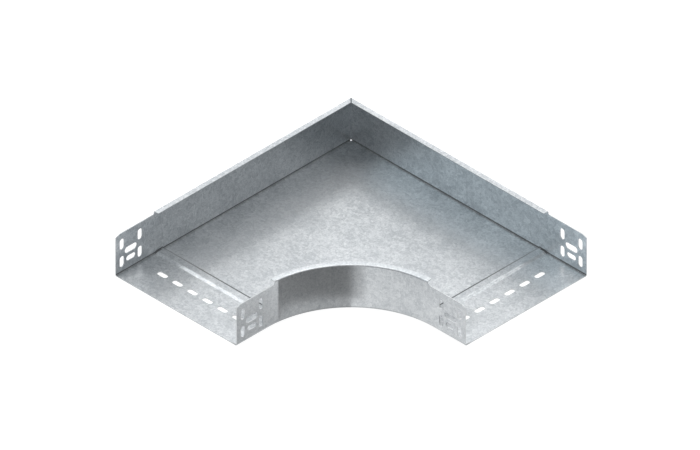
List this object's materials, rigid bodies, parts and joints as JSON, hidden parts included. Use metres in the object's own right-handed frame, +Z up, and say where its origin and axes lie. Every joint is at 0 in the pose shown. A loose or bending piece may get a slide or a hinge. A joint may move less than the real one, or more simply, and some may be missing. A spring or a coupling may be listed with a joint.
{
  "type": "cable tray bend",
  "caption": "Flat right-angle bend for a sheet-steel cable tray, with a square outer corner, a curved inner wall, folded top flanges and slotted ends.",
  "frame": {"origin": "under the middle of the bend's square plan, on the surface that it rests on", "axes": "+Z up out of the channel; one mouth faces -Y with its outer wall on the -X side, the other mouth faces +X with its outer wall on the +Y side"},
  "size_m": [0.3936, 0.3936, 0.062],
  "materials": {
    "galvanised_sheet": "strip-galvanised sheet steel, satin with a fine mottle",
    "galvanised_strip": "strip-galvanised strip steel, satin with a fine mottle"
  },
  "bodies": {
    "root": {"tray_body": "galvanised_sheet", "inner_wall": "galvanised_strip"}
  },
  "joints": []
}
